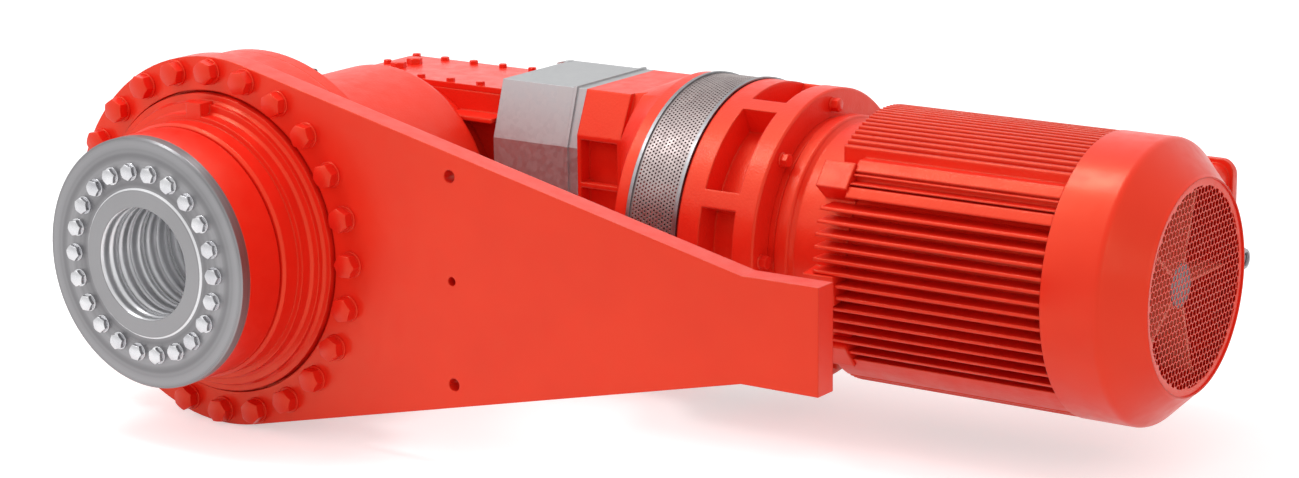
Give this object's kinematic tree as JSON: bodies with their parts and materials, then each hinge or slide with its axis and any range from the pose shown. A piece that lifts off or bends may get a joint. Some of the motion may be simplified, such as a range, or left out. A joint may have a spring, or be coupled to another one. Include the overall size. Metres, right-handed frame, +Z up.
{
  "type": "planetary gear motor",
  "caption": "Shaft-mounted right-angle planetary gear motor with a hollow output shaft, shrink disc, torque arm, coupling lantern and finned fan-cooled motor.",
  "frame": {"origin": "on the axis of the hollow output shaft, in the front face of the torque arm", "axes": "-Y out of the output bore along its axis, +X along the motor line towards the motor, +Z up"},
  "size_m": [1.74, 1.092, 0.5996],
  "materials": {
    "red_paint": "satin signal red enamel",
    "bright_steel": "turned and lightly oiled steel",
    "gear_steel": "ground, hardened steel",
    "cast_iron": "rough cast",
    "laminations": "stacked sheet edges",
    "copper": "enamelled copper wire",
    "galvanised_sheet": "galvanised sheet",
    "seal_rubber": "matt",
    "black_plastic": "matt",
    "grey_plastic": "satin"
  },
  "bodies": {
    "casing": {"adapter_ring": "red_paint", "air_guide_shell": "galvanised_sheet", "arm_bolts": "red_paint", "bevel_housing": "red_paint", "breather_plug": "black_plastic", "cable_gland": "grey_plastic", "coupling_lantern": "red_paint", "drum_housing": "red_paint", "fan_cowl": "red_paint", "fan_grille": "red_paint", "fan_housing": "red_paint", "guard_edge_rings": "bright_steel", "housing_top_cover": "red_paint", "input_neck": "red_paint", "lantern_bolts": "red_paint", "motor_bearing_outer_rings": "gear_steel", "motor_drive_shield": "red_paint", "motor_rear_shield": "red_paint", "oil_plugs": "bright_steel", "output_bearing_outer_rings": "gear_steel", "output_cover": "red_paint", "perforated_guard": "galvanised_sheet", "pinion_bearing_outer_rings": "gear_steel", "rear_bearing_cap": "red_paint", "rear_cap_bolts": "red_paint", "ring_gear": "red_paint", "shaft_seal": "seal_rubber", "stator_core": "laminations", "stator_housing": "red_paint", "stator_windings": "copper", "sun_bearing_outer_rings": "gear_steel", "terminal_box": "red_paint", "terminal_box_lid": "red_paint", "top_cover_bolts": "red_paint", "torque_arm": "red_paint"},
    "input_line": {"pinion_shaft": "gear_steel", "pinion_bearing_inner_rings": "gear_steel", "cooling_fan": "cast_iron", "coupling_half_gear_side": "cast_iron", "coupling_spider": "seal_rubber", "coupling_half_motor_side": "cast_iron", "motor_shaft": "gear_steel", "rotor_core": "laminations", "motor_bearing_inner_rings": "gear_steel", "motor_fan": "red_paint"},
    "sun": {"sun_shaft": "gear_steel", "bevel_wheel": "gear_steel", "sun_bearing_inner_rings": "gear_steel"},
    "output": {"hollow_shaft": "bright_steel", "planet_carrier": "cast_iron", "planet_pins": "gear_steel", "shrink_disc_inner_ring": "bright_steel", "shrink_disc_outer_ring": "red_paint", "shrink_disc_screws": "bright_steel", "output_bearing_inner_rings": "gear_steel"},
    "planet_1": {"planet_gear_1": "gear_steel"},
    "planet_2": {"planet_gear_2": "gear_steel"},
    "planet_3": {"planet_gear_3": "gear_steel"}
  },
  "joints": [
    {"name": "motor_spin", "type": "hinge", "parent": "casing", "child": "input_line", "pos_m": [1.1, 0.567, 0], "axis": [1, 0, 0], "continuous": true},
    {"name": "sun_spin", "type": "hinge", "parent": "casing", "child": "sun", "pos_m": [0, 0.3, 0], "axis": [0, 1, 0], "continuous": true},
    {"name": "output_spin", "type": "hinge", "parent": "casing", "child": "output", "pos_m": [0, 0, 0], "axis": [0, 1, 0], "continuous": true},
    {"name": "planet_1_spin", "type": "hinge", "parent": "output", "child": "planet_1", "pos_m": [0.14625, 0.07, 0], "axis": [0, 1, 0], "continuous": true},
    {"name": "planet_2_spin", "type": "hinge", "parent": "output", "child": "planet_2", "pos_m": [-0.07312, 0.07, 0.12666], "axis": [0, 1, 0], "continuous": true},
    {"name": "planet_3_spin", "type": "hinge", "parent": "output", "child": "planet_3", "pos_m": [-0.07312, 0.07, -0.12666], "axis": [0, 1, 0], "continuous": true}
  ],
  "couplings": [
    {"joint": "sun_spin", "follows": "motor_spin", "ratio": 0.33333},
    {"joint": "output_spin", "follows": "motor_spin", "ratio": 0.064103},
    {"joint": "planet_1_spin", "follows": "motor_spin", "ratio": -0.16827},
    {"joint": "planet_2_spin", "follows": "motor_spin", "ratio": -0.16827},
    {"joint": "planet_3_spin", "follows": "motor_spin", "ratio": -0.16827}
  ]
}
